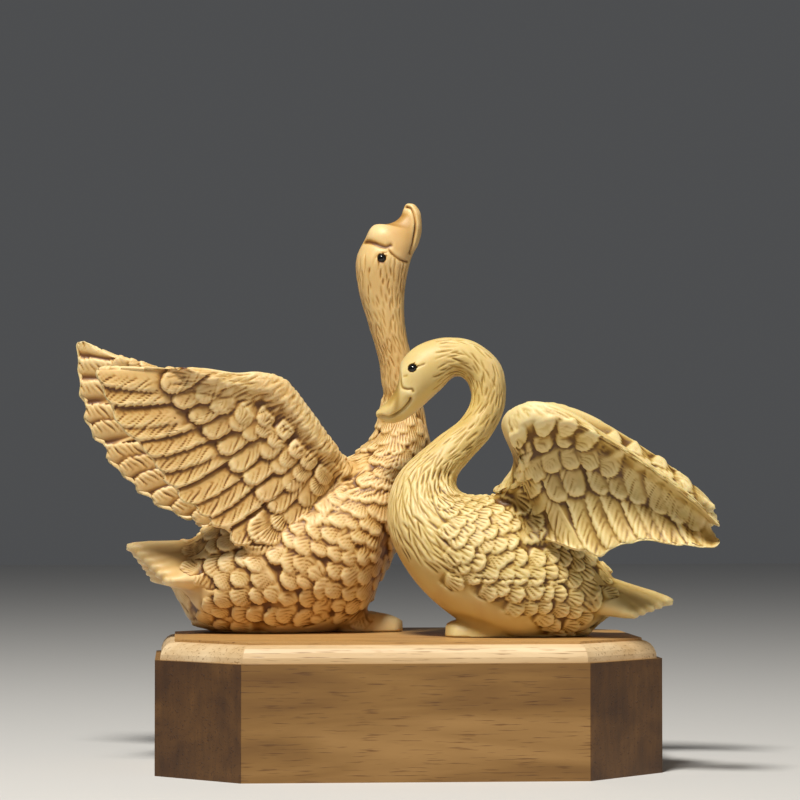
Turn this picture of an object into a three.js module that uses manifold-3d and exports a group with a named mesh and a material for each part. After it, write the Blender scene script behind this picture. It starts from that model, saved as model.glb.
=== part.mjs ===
// A pair of carved boxwood swans on a plinth with cut corners.
// Millimetres, +Z up. The origin is the middle of the plinth's underside.
// The camera side, called near here, is -Y. Swan A looks up towards +X,
// swan B bows its head towards -X and crosses in front of A's neck.

import * as THREE from 'three';
import { mergeVertices } from 'three/addons/utils/BufferGeometryUtils.js';
import Module from 'manifold-3d';

const wasm = await Module();
wasm.setup();

// Driving dimensions of the plinth
const plinth = {
  length: 180, depth: 124, corner: 29.5, bodyHeight: 40.6, height: 47.8,
  ledge: 1.8, mouldingInset: 6.9, mouldingTop: 46.9, mouldingSteps: 5,
};

// Gap between pieces that touch
const gap = 0.3;
const restHeight = plinth.height + gap;
const eyeDiameter = 3.5;

// Each row is one cross-section through tail, body, neck, head and bill:
// back x, back z, breast x, breast z, half width, sideways shift.
const swanA = {
  middle: 27,
  yaw: 8,
  pivotX: -35,
  sections: [
    [-80, 77, -83, 64, 11, 0],
    [-74, 85, -77, 51.5, 21, 0],
    [-59, 95, -59, 45, 28, 0],
    [-43, 102, -40, 44, 31, 0],
    [-29, 107.5, -17, 51, 30.5, 0],
    [-18, 113, -5, 70, 26.5, 0],
    [-10.5, 118.5, 5.5, 90, 20.5, 0],
    [-7, 125.5, 13.2, 108, 14.5, 0],
    [-5.5, 135, 11.6, 125, 10.4, 0],
    [-6.3, 148, 7, 145, 8.2, 0],
    [-10.2, 161.5, 3.4, 161, 7.6, 0],
    [-14.2, 175, 3, 174, 8.2, 0],
    [-15.3, 186.5, 4.6, 184, 9.5, 0],
    [-12, 194.5, 6.2, 189, 8.4, 0],
    [-8.6, 200, 8.4, 193, 6.8, 0],
    [-2.4, 200.1, 9.6, 197.4, 5.6, 0],
    [1.6, 201, 9.7, 200.6, 5.2, 0],
    [2.5, 205.4, 9.1, 205.6, 4.2, 0],
    [3.7, 208.2, 7.4, 207.7, 2.6, 0],
  ],
  scales: { from: 1.2, to: 6.6, height: 1, rings: 14 },
  mouth: { from: 14.2, turn: 0.66, depth: 0.5 },
  eye: { section: 12.15, turn: 0.43 },
  facing: 1,
};

const swanB = {
  middle: -12,
  yaw: -6,
  pivotX: 30,
  sections: [
    [73, 68, 73, 56, 9, 0],
    [68, 77, 66, 48.5, 17, 0],
    [57, 88, 52, 45, 23, 0],
    [45, 95, 36, 45, 26.5, 0],
    [34, 98.4, 19, 53.5, 27, 0],
    [27, 98.2, 4.6, 66, 24.5, 0],
    [21, 99, -4.6, 81, 20, 0],
    [18.4, 102, -6.6, 93.5, 16.5, 1],
    [19.2, 106.2, -2.6, 106.6, 12.4, 3],
    [24.6, 112.8, 10.2, 118.6, 9.2, 5],
    [31.4, 120.8, 19.8, 126.2, 8, 7],
    [36.2, 132, 23.6, 133.6, 7.6, 9],
    [34.8, 145.6, 22, 140.2, 7.8, 10],
    [25.8, 154.2, 17.6, 141.7, 8, 10],
    [14.8, 156.2, 12.2, 136.8, 8.6, 9],
    [4.6, 153.4, 5.2, 130.3, 9.2, 8],
    [-1.6, 147.4, 0.2, 126.4, 7.6, 7],
    [-2.6, 140, -3.6, 125, 5.6, 6.5],
    [-5, 134.4, -6.4, 124.8, 5.1, 6],
    [-9, 130.7, -9, 125.6, 4, 5.5],
    [-10.7, 129.2, -10.6, 127, 2.4, 5.5],
  ],
  scales: { from: 1.2, to: 6.4, height: 1, rings: 14 },
  mouth: { from: 16.8, turn: 0.7, depth: 0.5 },
  eye: { section: 15.3, turn: 0.39 },
  facing: -1,
};

// A wing is a blade between its leading edge and the line of its feather tips.
// Each row: leading edge x, z and stand-off from the middle plane, then the
// matching point on the line of tips in the same order. The first row is at
// the shoulder and the last lies along the outermost feather.
const wingShared = { thickRoot: 13, thick: 6.5, thickTip: 2.2, coverts: [0.36, 0.62], step: 1.1 };
const wings = {
  nearA: {
    side: -1,
    rows: [
      [-14, 106, 22, -38, 82, 24],
      [-24, 117.5, 27, -49, 78.5, 30],
      [-33.5, 129.5, 31, -61, 79.5, 32],
      [-43, 140.6, 34, -73, 89.5, 34],
      [-53, 143.3, 37, -84, 99, 36],
      [-63, 144, 39, -94, 112.5, 38],
      [-71, 144.2, 40, -106, 127, 40],
      [-77, 144.5, 41, -113.5, 145, 41],
    ],
    feathers: 11, sag: 5, notch: 0.09, rim: 1.2, hollow: 1.5,
  },
  farA: {
    side: 1,
    rows: [
      [-14, 106, 22, -38, 84, 24],
      [-24, 118, 27, -52, 80, 29],
      [-33.5, 131, 31, -66, 83, 32],
      [-43, 141, 34, -80, 89, 34],
      [-56, 144.6, 36, -97, 98.5, 36],
      [-70, 145.8, 37, -111, 114, 38],
      [-83, 146.8, 38, -120, 133, 39],
      [-95, 147.8, 39, -122.5, 159, 40],
    ],
    feathers: 12, sag: 3, notch: 0.09, rim: 1.2, hollow: 1.5,
  },
  nearB: {
    side: -1,
    rows: [
      [32, 100, 22, 42, 84, 24],
      [37.5, 111, 30, 51, 81.5, 29],
      [31.5, 124, 37, 59, 78.5, 32],
      [38, 131, 42, 66.5, 76.4, 34],
      [50, 130, 44, 74.5, 79.5, 36],
      [64, 122.3, 44, 83, 81.5, 38],
      [80, 111.4, 44, 92, 80.5, 40],
      [95, 99.8, 43, 101, 79.8, 41],
      [106, 88.5, 41, 108.5, 81, 41],
    ],
    feathers: 10, sag: 0, notch: 0.05, rim: 1.5, hollow: 7,
  },
  farB: {
    side: 1,
    rows: [
      [38, 99, 21, 50, 84, 23],
      [43, 112, 28, 58, 81, 28],
      [43, 124, 33, 66, 79, 31],
      [50, 131.5, 37, 73, 78.5, 33],
      [58, 133.2, 39, 81, 80, 35],
      [72, 128.5, 40, 92, 82, 37],
      [88, 119, 40, 103, 83.5, 38],
      [103, 108, 39, 113, 85, 38],
      [116, 96, 38, 119, 88, 38],
    ],
    feathers: 10, sag: 0, notch: 0.07, rim: 1.2, hollow: 4,
  },
};

// Tail fans: the middle feather is the longest and highest
const tails = {
  A: { root: [-66, 75], tip: [-101.5, 79.5], each: 2, spread: 13, drop: 6, shorten: 5.5,
    width: 19, thick: 9.5 },
  B: { root: [64, 65], tip: [96.5, 60], each: 2, spread: 11, drop: 2, shorten: 6.5,
    width: 18, thick: 9.5, covert: { root: [74, 60], tip: [70.5, 75], width: 9, thick: 5 } },
};

// Feet: heel, toe, height and width, one on each side of the middle
const feet = {
  A: { heel: -24, toe: 0.8, height: 7, width: 12, spacing: 8 },
  B: { heel: 42, toe: 14.4, height: 7, width: 13, spacing: 9 },
};

// Catmull-Rom value between rows of numbers, at a fractional row number
function between(rows, at) {
  const last = rows.length - 1;
  const i = Math.min(Math.floor(at), last - 1);
  const f = at - i;
  return rows[i].map((value, k) => {
    const next = rows[i + 1][k];
    const before = i > 0 ? rows[i - 1][k] : 2 * value - next;
    const after = i + 2 <= last ? rows[i + 2][k] : 2 * next - value;
    const slopeIn = (next - before) / 2;
    const slopeOut = (after - value) / 2;
    return value + f * slopeIn
      + f * f * (3 * (next - value) - 2 * slopeIn - slopeOut)
      + f * f * f * (2 * (value - next) + slopeIn + slopeOut);
  });
}

const smooth = (low, high, x) => THREE.MathUtils.smoothstep(x, low, high);

// Closed surface over rings of equal length; an end with a pole closes on it,
// an end without one is zipped shut across the ring
function loft(rings, startPole, endPole) {
  const n = rings[0].length;
  const positions = rings.flat().flatMap((p) => [p.x, p.y, p.z]);
  const faces = [];
  for (let i = 0; i + 1 < rings.length; i += 1) {
    for (let j = 0; j < n; j += 1) {
      const a = i * n + j;
      const b = i * n + (j + 1) % n;
      faces.push(a, b, b + n, a, b + n, a + n);
    }
  }
  const close = (base, pole, flip) => {
    const add = (a, b, c) => faces.push(...(flip ? [a, b, c] : [a, c, b]));
    if (pole) {
      positions.push(pole.x, pole.y, pole.z);
      const tip = positions.length / 3 - 1;
      for (let j = 0; j < n; j += 1) add(base + j, base + (j + 1) % n, tip);
    } else {
      for (let j = 0; 2 * j + 1 < n; j += 1) {
        const [a, b] = [j, (j + 1) % n];
        const [c, d] = [(n - j - 1) % n, (n - j) % n];
        if (b !== c) add(base + a, base + b, base + c);
        if (c !== d && a !== d) add(base + a, base + c, base + d);
      }
    }
  };
  close(0, startPole, false);
  close((rings.length - 1) * n, endPole, true);
  const geometry = new THREE.BufferGeometry();
  geometry.setAttribute('position', new THREE.Float32BufferAttribute(positions, 3));
  geometry.setIndex(faces);
  return geometry;
}

// A closed geometry as a solid, turned the right way out
function solid(source) {
  let geometry = source.clone();
  geometry.deleteAttribute('normal');
  geometry.deleteAttribute('uv');
  geometry = mergeVertices(geometry, 1e-5);
  const points = geometry.getAttribute('position');
  const tris = Uint32Array.from(geometry.getIndex().array);
  const [a, b, c] = [new THREE.Vector3(), new THREE.Vector3(), new THREE.Vector3()];
  let volume = 0;
  for (let i = 0; i < tris.length; i += 3) {
    a.fromBufferAttribute(points, tris[i]);
    b.fromBufferAttribute(points, tris[i + 1]);
    c.fromBufferAttribute(points, tris[i + 2]);
    volume += a.dot(b.cross(c));
  }
  if (volume < 0) tris.reverse();
  return new wasm.Manifold(new wasm.Mesh({
    numProp: 3, vertProperties: Float32Array.from(points.array), triVerts: tris,
  }));
}

function fromSolid(shape) {
  const mesh = shape.getMesh();
  const geometry = new THREE.BufferGeometry();
  geometry.setAttribute('position', new THREE.Float32BufferAttribute(mesh.vertProperties, 3));
  geometry.setIndex([...mesh.triVerts]);
  return geometry;
}

// One point of a swan's skin: section number, turn from the back (0) over the
// near side to the breast (1) and back up the far side (2), and extra height
function skin(swan, at, turn, raise) {
  const [backX, backZ, breastX, breastZ, half, shift] = between(swan.sections, at);
  const angle = turn * Math.PI;
  const tall = Math.hypot(backX - breastX, backZ - breastZ) / 2;
  const up = (tall + raise) * Math.cos(angle);
  const out = (half + raise) * Math.sin(angle);
  return new THREE.Vector3(
    (backX + breastX) / 2 + up * (backX - breastX) / (2 * tall),
    shift - out,
    (backZ + breastZ) / 2 + up * (backZ - breastZ) / (2 * tall),
  );
}

// Body, neck, head and bill in one, with rows of raised scales on the body
function swanCore(swan) {
  const { scales, mouth, sections } = swan;
  const around = 22;
  const last = sections.length - 1;
  const stations = [0];
  for (let i = 1; i <= scales.rings; i += 1) {
    stations.push(scales.from + (scales.to - scales.from) * (i - 1) / (scales.rings - 1));
  }
  for (let at = scales.to + 0.7; at < last - 0.3; at += 0.7) stations.push(at);
  stations.push(last);
  const rings = stations.map((at, i) => Array.from({ length: around }, (_, j) => {
    const turn = 2 * j / around;
    const scaled = at >= scales.from && at <= scales.to && (i + j) % 2 === 0;
    const fade = 1 - smooth(scales.to - 1.2, scales.to, at);
    const slit = at > mouth.from && Math.abs(Math.abs(turn - 1) - (1 - mouth.turn)) < 1 / around;
    return skin(swan, at, turn, (scaled ? scales.height * fade : 0) - (slit ? mouth.depth : 0));
  }));
  const centre = (ring, reach) => {
    const middle = ring.reduce((sum, p) => sum.add(p), new THREE.Vector3()).divideScalar(around);
    return middle.add(reach);
  };
  const start = centre(rings[0], new THREE.Vector3(-5.5 * swan.facing, 0, 0));
  const [lastRing, previous] = [rings[rings.length - 1], rings[rings.length - 2]];
  const along = centre(lastRing, new THREE.Vector3()).sub(centre(previous, new THREE.Vector3()));
  const tip = centre(lastRing, along.normalize().multiplyScalar(0.8));
  return loft(rings, start, tip);
}

// Outline point of a wing at q along the blade and r from leading edge to tips
function wingPoint(wing, q, r) {
  const [x, z, out, tipX, tipZ, tipOut] = between(wing.rows, q * (wing.rows.length - 1));
  const bend = wing.sag * 4 * r * (1 - r) * Math.sin(Math.PI * Math.min(1, q * 1.15));
  const length = Math.hypot(tipX - x, tipZ - z);
  const turnX = (tipZ - z) / length;
  const turnZ = -(tipX - x) / length;
  const way = turnZ > 0 ? -1 : 1;
  return [
    x + (tipX - x) * r + way * turnX * bend,
    z + (tipZ - z) * r + way * turnZ * bend,
    out + (tipOut - out) * r,
  ];
}

// A wing blade: scalloped edge, two stepped rows of coverts on both faces
function wingBlade(wing) {
  const perFeather = 3;
  const columns = wing.feathers * perFeather;
  const { thickRoot, thick, thickTip, coverts, step } = wingShared;
  const lines = [0.05, 0.17, coverts[0], coverts[0] + 0.04, coverts[1], coverts[1] + 0.04, 1];
  const rings = [];
  for (let i = 0; i <= columns; i += 1) {
    const q = i / columns;
    const dip = i % perFeather === 0 ? 1 : 0;
    const root = 1 - smooth(0.05, 0.45, q);
    const face = lines.map((line) => {
      const scallop = line > 0.3 ? wing.notch * dip * (line === 1 ? 1 : 0.5) : 0;
      const r = line - scallop;
      const [x, z, out] = wingPoint(wing, q, r);
      const fall = THREE.MathUtils.lerp(thick, thickTip, smooth(0.1, 1, line));
      const round = Math.min(1, Math.sqrt(line / 0.17));
      const width = (fall + root * thickRoot * (1 - 0.75 * line)) * round;
      const under = coverts.filter((edge) => line > edge + 0.02).length;
      const relief = (1 - under * 0.5) * step * 0.5 - (line > 0.3 ? dip * 0.7 : 0);
      const cup = wing.hollow * Math.sin(Math.PI * Math.min(1, line * 1.05)) * smooth(0.08, 0.35, line);
      const rim = wing.rim * (1 - smooth(0.1, 0.3, line)) * round;
      return { x, z, outer: out - cup + relief + rim, inner: out - cup - width - relief * 0.6 };
    });
    const [x0, z0, out0] = wingPoint(wing, q, 0);
    const edgeOut = out0 - (thick + root * thickRoot) / 2;
    const at = (x, out, z) => new THREE.Vector3(x, wing.side * out, z);
    const ring = [at(x0, edgeOut, z0)];
    face.forEach((p) => ring.push(at(p.x, p.outer, p.z)));
    [...face].reverse().forEach((p) => ring.push(at(p.x, p.inner, p.z)));
    rings.push(ring);
  }
  return loft(rings, null, null);
}

// A feather-shaped blade from a root point to a rounded tip
function feather(root, tip, width, thick) {
  const along = tip.clone().sub(root);
  const across = new THREE.Vector3(-along.y, along.x, 0).normalize();
  const up = new THREE.Vector3().crossVectors(along, across).normalize();
  if (up.z < 0) up.negate();
  const shape = [[0, 0.8, 1], [0.4, 1, 1], [0.72, 0.95, 0.95], [0.91, 0.68, 0.75], [0.98, 0.32, 0.45]];
  const rings = shape.map(([t, w, h]) => Array.from({ length: 8 }, (_, j) => {
    const angle = j * Math.PI / 4;
    return root.clone().addScaledVector(along, t)
      .addScaledVector(up, thick / 2 * h * Math.cos(angle))
      .addScaledVector(across, width / 2 * w * Math.sin(angle));
  }));
  return loft(rings, root.clone().addScaledVector(along, -0.03), tip);
}

function tailFan(tail) {
  const parts = [];
  const [rootX, rootZ] = tail.root;
  const [tipX, tipZ] = tail.tip;
  const way = Math.sign(rootX - tipX);
  for (let i = -tail.each; i <= tail.each; i += 1) {
    const step = Math.abs(i);
    const root = new THREE.Vector3(rootX, i * tail.spread * 0.45, rootZ - step * tail.drop * 0.5);
    const tip = new THREE.Vector3(
      tipX + way * step * tail.shorten,
      i * tail.spread * 0.72,
      tipZ - step * tail.drop,
    );
    parts.push(feather(root, tip, tail.width, tail.thick));
  }
  if (tail.covert) {
    const { root, tip, width, thick } = tail.covert;
    const from = new THREE.Vector3(root[0], 0, root[1]);
    parts.push(feather(from, new THREE.Vector3(tip[0], -1, tip[1]), width, thick));
  }
  return parts;
}

// A smooth foot with a flat sole, on one side of the middle
function foot(size, y) {
  const rows = [0, 0.2, 0.45, 0.7, 0.88, 0.97];
  const length = size.toe - size.heel;
  const rings = rows.map((t) => {
    const width = size.width / 2 * Math.sqrt(1 - Math.pow(2 * t - 1.02, 2) * 0.72);
    const height = size.height * (t < 0.5 ? 1 : Math.sqrt(1 - Math.pow((t - 0.5) * 1.75, 2)));
    return Array.from({ length: 12 }, (_, j) => {
      const angle = j * Math.PI / 6;
      return new THREE.Vector3(
        size.heel + length * t,
        y + width * Math.sin(angle),
        restHeight + Math.max(0, height * Math.cos(angle)),
      );
    });
  });
  const end = (t) => new THREE.Vector3(size.heel + length * t, y, restHeight);
  return loft(rings, end(-0.05), end(1));
}

// Turn a swan about the upright line through its body and keep its belly flat.
// The rows of a wing are already measured from the side, so only its depth turns.
function settle(geometry, swan, wing = false) {
  const turn = THREE.MathUtils.degToRad(swan.yaw);
  const points = geometry.getAttribute('position');
  for (let i = 0; i < points.count; i += 1) {
    const x = points.getX(i) - swan.pivotX;
    const y = points.getY(i);
    points.setXYZ(
      i,
      swan.pivotX + (wing ? x : x * Math.cos(turn) - y * Math.sin(turn)),
      swan.middle + x * Math.sin(turn) + y * Math.cos(turn),
      Math.max(points.getZ(i), restHeight),
    );
  }
  return geometry;
}

// Centre of an eye bead, set into the side of the head
function eyeCentre(swan, side) {
  const point = skin(swan, swan.eye.section, side < 0 ? swan.eye.turn : 2 - swan.eye.turn, 0);
  const shift = between(swan.sections, swan.eye.section)[5];
  point.y = shift + (point.y - shift) * (1 - 0.9 / Math.abs(point.y - shift));
  return point;
}

function eyeBead(swan, side, diameter) {
  const centre = eyeCentre(swan, side);
  const ball = new THREE.SphereGeometry(diameter / 2, 8, 6);
  ball.translate(centre.x, centre.y, centre.z);
  return settle(ball, swan);
}

function carveSwan(swan, tail, wingPair, size) {
  let body = solid(settle(swanCore(swan), swan));
  const parts = [
    ...wingPair.map((wing) => solid(settle(wingBlade(wing), swan, true))),
    ...tailFan(tail).map((part) => solid(settle(part, swan))),
    ...[-1, 1].map((side) => solid(settle(foot(size, side * size.spacing), swan))),
  ];
  parts.forEach((part) => { body = body.add(part); });
  [-1, 1].forEach((side) => {
    body = body.subtract(solid(eyeBead(swan, side, eyeDiameter + 2 * gap)));
  });
  return fromSolid(body);
}

// Octagon of the plinth, drawn in by an inset all round
function octagon(inset, z) {
  const [a, b] = [plinth.length / 2 - inset, plinth.depth / 2 - inset];
  const c = plinth.corner - inset * (2 - Math.SQRT2);
  const quarter = [[a, b - c], [a - c, b]];
  const half = [...quarter, ...quarter.map(([x, y]) => [-x, y]).reverse()];
  return [...half, ...half.map(([x, y]) => [-x, -y])].map(([x, y]) => new THREE.Vector3(x, y, z));
}

function makePlinth() {
  const { bodyHeight, ledge, mouldingInset, mouldingTop, mouldingSteps, height } = plinth;
  const rings = [octagon(0, 0), octagon(0, bodyHeight)];
  for (let i = 0; i <= mouldingSteps; i += 1) {
    const angle = i / mouldingSteps * Math.PI / 2;
    const inset = mouldingInset - (mouldingInset - ledge) * Math.cos(angle);
    rings.push(octagon(inset, bodyHeight + 0.1 + (mouldingTop - bodyHeight - 0.1) * Math.sin(angle)));
  }
  rings.push(octagon(mouldingInset, height));
  return fromSolid(solid(loft(rings, null, null)));
}

const finish = (color, roughness) => new THREE.MeshStandardMaterial({ color, roughness, metalness: 0 });
const group = new THREE.Group();
function place(name, geometry, material) {
  geometry.computeVertexNormals();
  const mesh = new THREE.Mesh(geometry, material);
  mesh.name = name;
  group.add(mesh);
}

place('plinth', makePlinth(), finish(0xa0743a, 0.55));
place('swan_head_raised', carveSwan(swanA, tails.A, [wings.nearA, wings.farA], feet.A),
  finish(0xd9b67a, 0.6));
place('swan_head_bowed', carveSwan(swanB, tails.B, [wings.nearB, wings.farB], feet.B),
  finish(0xdccb8a, 0.6));
[['raised', swanA], ['bowed', swanB]].forEach(([name, swan]) => {
  [['near', -1], ['far', 1]].forEach(([where, side]) => {
    place(`eye_${name}_${where}`, eyeBead(swan, side, eyeDiameter), finish(0x0a0a0a, 0.08));
  });
});

export default group;
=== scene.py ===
# A pair of carved boxwood swans on a plinth with cut corners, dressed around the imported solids.
import math

import bpy
import numpy as np
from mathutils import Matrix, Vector
from mathutils.kdtree import KDTree


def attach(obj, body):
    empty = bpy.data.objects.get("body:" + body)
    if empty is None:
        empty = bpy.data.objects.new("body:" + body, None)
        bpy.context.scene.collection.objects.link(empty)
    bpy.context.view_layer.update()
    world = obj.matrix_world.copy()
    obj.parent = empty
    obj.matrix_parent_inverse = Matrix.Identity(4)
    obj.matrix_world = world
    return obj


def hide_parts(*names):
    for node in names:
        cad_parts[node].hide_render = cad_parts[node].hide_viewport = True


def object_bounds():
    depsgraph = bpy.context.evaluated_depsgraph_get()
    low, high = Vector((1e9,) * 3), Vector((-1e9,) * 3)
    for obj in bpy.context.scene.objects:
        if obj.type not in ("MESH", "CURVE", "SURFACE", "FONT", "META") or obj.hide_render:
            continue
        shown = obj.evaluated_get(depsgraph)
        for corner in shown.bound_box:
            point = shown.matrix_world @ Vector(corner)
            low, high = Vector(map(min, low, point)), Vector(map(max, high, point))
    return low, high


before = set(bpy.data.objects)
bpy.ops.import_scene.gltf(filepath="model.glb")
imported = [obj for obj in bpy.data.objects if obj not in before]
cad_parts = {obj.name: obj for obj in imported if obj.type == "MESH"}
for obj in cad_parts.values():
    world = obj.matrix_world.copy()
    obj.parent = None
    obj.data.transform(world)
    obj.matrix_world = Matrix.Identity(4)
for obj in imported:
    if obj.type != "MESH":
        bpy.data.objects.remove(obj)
cadBox = [list(corner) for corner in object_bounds()]
print("frame loaded")

mm = 0.001                      # sizes below are in millimetres, meshes in metres
restHeight = 48.1               # plinth top plus the gap under the swans


def smooth(low, high, x):
    t = np.clip((x - low) / (high - low), 0, 1)
    return t * t * (3 - 2 * t)


# A smooth curve through rows of numbers, at a fractional row number.
def between(rows, at):
    rows = np.asarray(rows, float)
    at = np.asarray(at, float)
    last = len(rows) - 1
    i = np.clip(np.floor(at).astype(int), 0, last - 1)
    f = (at - i)[..., None]
    here, there = rows[i], rows[i + 1]
    before = np.where((i > 0)[..., None], rows[np.maximum(i - 1, 0)], 2 * here - there)
    after = np.where((i + 2 <= last)[..., None], rows[np.minimum(i + 2, last)], 2 * there - here)
    slopeIn, slopeOut = (there - before) / 2, (after - here) / 2
    return (here + f * slopeIn + f * f * (3 * (there - here) - 2 * slopeIn - slopeOut)
            + f ** 3 * (2 * (here - there) + slopeIn + slopeOut))


def along(values, q):
    return np.interp(q, np.linspace(0, 1, len(values)), values)


def unit(vectors):
    return vectors / (np.linalg.norm(vectors, axis=-1, keepdims=True) + 1e-12)


# Turns points about a swan's upright line and keeps them above the plinth.
def settle(points, swan, wing=False):
    turn = math.radians(swan["yaw"])
    x, y = points[..., 0] - swan["pivotX"], points[..., 1]
    out = np.array(points, float)
    out[..., 0] = swan["pivotX"] + (x if wing else x * math.cos(turn) - y * math.sin(turn))
    out[..., 1] = swan["middle"] + x * math.sin(turn) + y * math.cos(turn)
    out[..., 2] = np.maximum(points[..., 2], restHeight)
    return out


def unsettle(points, swan):
    turn = math.radians(swan["yaw"])
    x, y = points[:, 0] - swan["pivotX"], points[:, 1] - swan["middle"]
    return (swan["pivotX"] + x * math.cos(turn) + y * math.sin(turn),
            y * math.cos(turn) - x * math.sin(turn), points[:, 2])


def meshFrom(name, points, faces):
    mesh = bpy.data.meshes.new(name)
    mesh.from_pydata((np.asarray(points) * mm).tolist(), [], faces)
    mesh.update()
    co = numbersOf(mesh.vertices, "co", 3)
    mesh.calc_loop_triangles()
    a, b, c = (co[numbersOf(mesh.loop_triangles, "vertices", 3, int)[:, k]] for k in range(3))
    if np.einsum("ij,ij->i", a - co[0], np.cross(b - co[0], c - co[0])).sum() < 0:
        mesh.flip_normals()
    return mesh


def numbersOf(items, name, width, kind=float):
    values = np.empty(len(items) * width, kind)
    items.foreach_get(name, values)
    return values.reshape(-1, width)


def objectFrom(name, mesh):
    thing = bpy.data.objects.new(name, mesh)
    bpy.context.scene.collection.objects.link(thing)
    return thing


# Quads over closed rings, then fans to the two poles, which are the last two points.
def gridFaces(rings, around):
    i, j = np.meshgrid(np.arange(rings - 1), np.arange(around), indexing="ij")
    a, b = i * around + j, i * around + (j + 1) % around
    faces = np.stack([a, b, b + around, a + around], -1).reshape(-1, 4).tolist()
    last, startPole = (rings - 1) * around, rings * around
    for k in range(around):
        nextOne = (k + 1) % around
        faces.append([k, startPole, nextOne])
        faces.append([last + k, last + nextOne, startPole + 1])
    return faces


def bareMesh(thing):
    depsgraph = bpy.context.evaluated_depsgraph_get()
    return bpy.data.meshes.new_from_object(thing.evaluated_get(depsgraph))


def settleModifiers(thing):
    mesh = bareMesh(thing)
    thing.modifiers.clear()
    thing.data = mesh


# The swans. Each section of a body: back x, back z, breast x, breast z, half width, sideways shift.
raisedSwan = {
    "name": "carvedSwanRaised", "middle": 27, "yaw": 8, "pivotX": -35, "facing": 1,
    "sections": [
        [-80, 77, -83, 64, 11, 0], [-74, 85, -77, 51.5, 21, 0], [-59, 95, -59, 45, 28, 0],
        [-43, 102, -40, 44, 31, 0], [-29, 107.5, -17, 51, 30.5, 0], [-18, 113, -5, 70, 26.5, 0],
        [-10.5, 118.5, 5.5, 90, 20.5, 0], [-7, 125.5, 13.2, 108, 14.5, 0],
        [-5.5, 135, 11.6, 125, 10.4, 0], [-6.3, 148, 7, 145, 8.2, 0],
        [-10.2, 161.5, 3.4, 161, 7.6, 0], [-14.2, 175, 3, 174, 8.2, 0],
        [-15.3, 186.5, 4.6, 184, 9.5, 0], [-12, 194.5, 6.2, 189, 8.4, 0],
        [-8.6, 200, 8.4, 193, 6.8, 0], [-2.4, 200.1, 9.6, 197.4, 5.6, 0],
        [1.6, 201, 9.7, 200.6, 5.2, 0], [2.5, 205.4, 9.1, 205.6, 4.2, 0],
        [3.7, 208.2, 7.4, 207.7, 2.6, 0],
    ],
    "eye": [12.15, 0.43],
    "tail": {"root": [-66, 75], "tip": [-101.5, 79.5], "each": 5, "spread": 5.2, "drop": 2.4,
             "shorten": 2.2, "width": 13, "thick": 7.5},
    "foot": {"heel": -24, "toe": 0.8, "height": 7, "width": 12, "spacing": 8},
    "tone": "warm",
}
bowedSwan = {
    "name": "carvedSwanBowed", "middle": -12, "yaw": -6, "pivotX": 30, "facing": -1,
    "sections": [
        [73, 68, 73, 56, 9, 0], [68, 77, 66, 48.5, 17, 0], [57, 88, 52, 45, 23, 0],
        [45, 95, 36, 45, 26.5, 0], [34, 98.4, 19, 53.5, 27, 0], [27, 98.2, 4.6, 66, 24.5, 0],
        [21, 99, -4.6, 81, 20, 0], [18.4, 102, -6.6, 93.5, 16.5, 1],
        [19.2, 106.2, -2.6, 106.6, 12.4, 3], [24.6, 112.8, 10.2, 118.6, 9.2, 5],
        [31.4, 120.8, 19.8, 126.2, 8, 7], [36.2, 132, 23.6, 133.6, 7.6, 9],
        [34.8, 145.6, 22, 140.2, 7.8, 10], [25.8, 154.2, 17.6, 141.7, 8, 10],
        [14.8, 156.2, 12.2, 136.8, 8.6, 9], [4.6, 153.4, 5.2, 130.3, 9.2, 8],
        [-1.6, 147.4, 0.2, 126.4, 7.6, 7], [-2.6, 140, -3.6, 125, 5.6, 6.5],
        [-5, 134.4, -6.4, 124.8, 5.1, 6], [-9, 130.7, -9, 125.6, 4, 5.5],
        [-10.7, 129.2, -10.6, 127, 2.4, 5.5],
    ],
    "eye": [15.3, 0.39],
    "tail": {"root": [64, 65], "tip": [96.5, 60], "each": 4, "spread": 5.5, "drop": 1,
             "shorten": 3.2, "width": 13, "thick": 7},
    "covert": {"root": [74, 60], "tip": [70.5, 75], "width": 9, "thick": 5},
    "foot": {"heel": 42, "toe": 14.4, "height": 7, "width": 13, "spacing": 9},
    "tone": "yellow",
}
carving = {
    "spacing": 0.55,            # between rings of the body
    "around": 272,
    "wingStep": 0.5,
    "poleLength": 5.5, "tipLength": 0.8,
    "triangles": 196000,        # for each swan
}


def corePoints(swan, at, turn):
    rows = between(swan["sections"], at)
    back, breast = rows[..., [0, 1]], rows[..., [2, 3]]
    angle = turn * math.pi
    xz = (back + breast) / 2 + (back - breast) / 2 * np.cos(angle)[..., None]
    y = rows[..., 5] - rows[..., 4] * np.sin(angle)
    return np.stack([xz[..., 0], y, xz[..., 1]], -1)


# Section numbers at even steps along the middle of a body, and the girth at each.
def stepsAlong(swan, step, start=0, end=None):
    end = len(swan["sections"]) - 1 if end is None else end
    fine = np.linspace(start, end, 1500)
    rows = between(swan["sections"], fine)
    middle = (rows[:, [0, 1]] + rows[:, [2, 3]]) / 2
    length = np.concatenate([[0], np.cumsum(np.linalg.norm(np.diff(middle, axis=0), axis=1))])
    at = np.interp(np.arange(0, length[-1], step), length, fine)
    ring = corePoints(swan, at[:, None], np.linspace(0, 2, 65)[None, :])
    return at, np.linalg.norm(np.diff(ring, axis=1), axis=2).sum(1)


# Point, direction towards the head and outward direction on a body's surface.
def coreFrame(swan, at, turn):
    at, turn = np.broadcast_arrays(np.asarray(at, float), np.asarray(turn, float))
    here = settle(corePoints(swan, at, turn), swan)
    ahead = unit(settle(corePoints(swan, at + 0.02, turn), swan) - settle(corePoints(swan, at - 0.02, turn), swan))
    round_ = settle(corePoints(swan, at, turn + 0.01), swan) - settle(corePoints(swan, at, turn - 0.01), swan)
    outward = unit(np.cross(round_, ahead)) * swan["facing"]
    return here, ahead, outward


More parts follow.
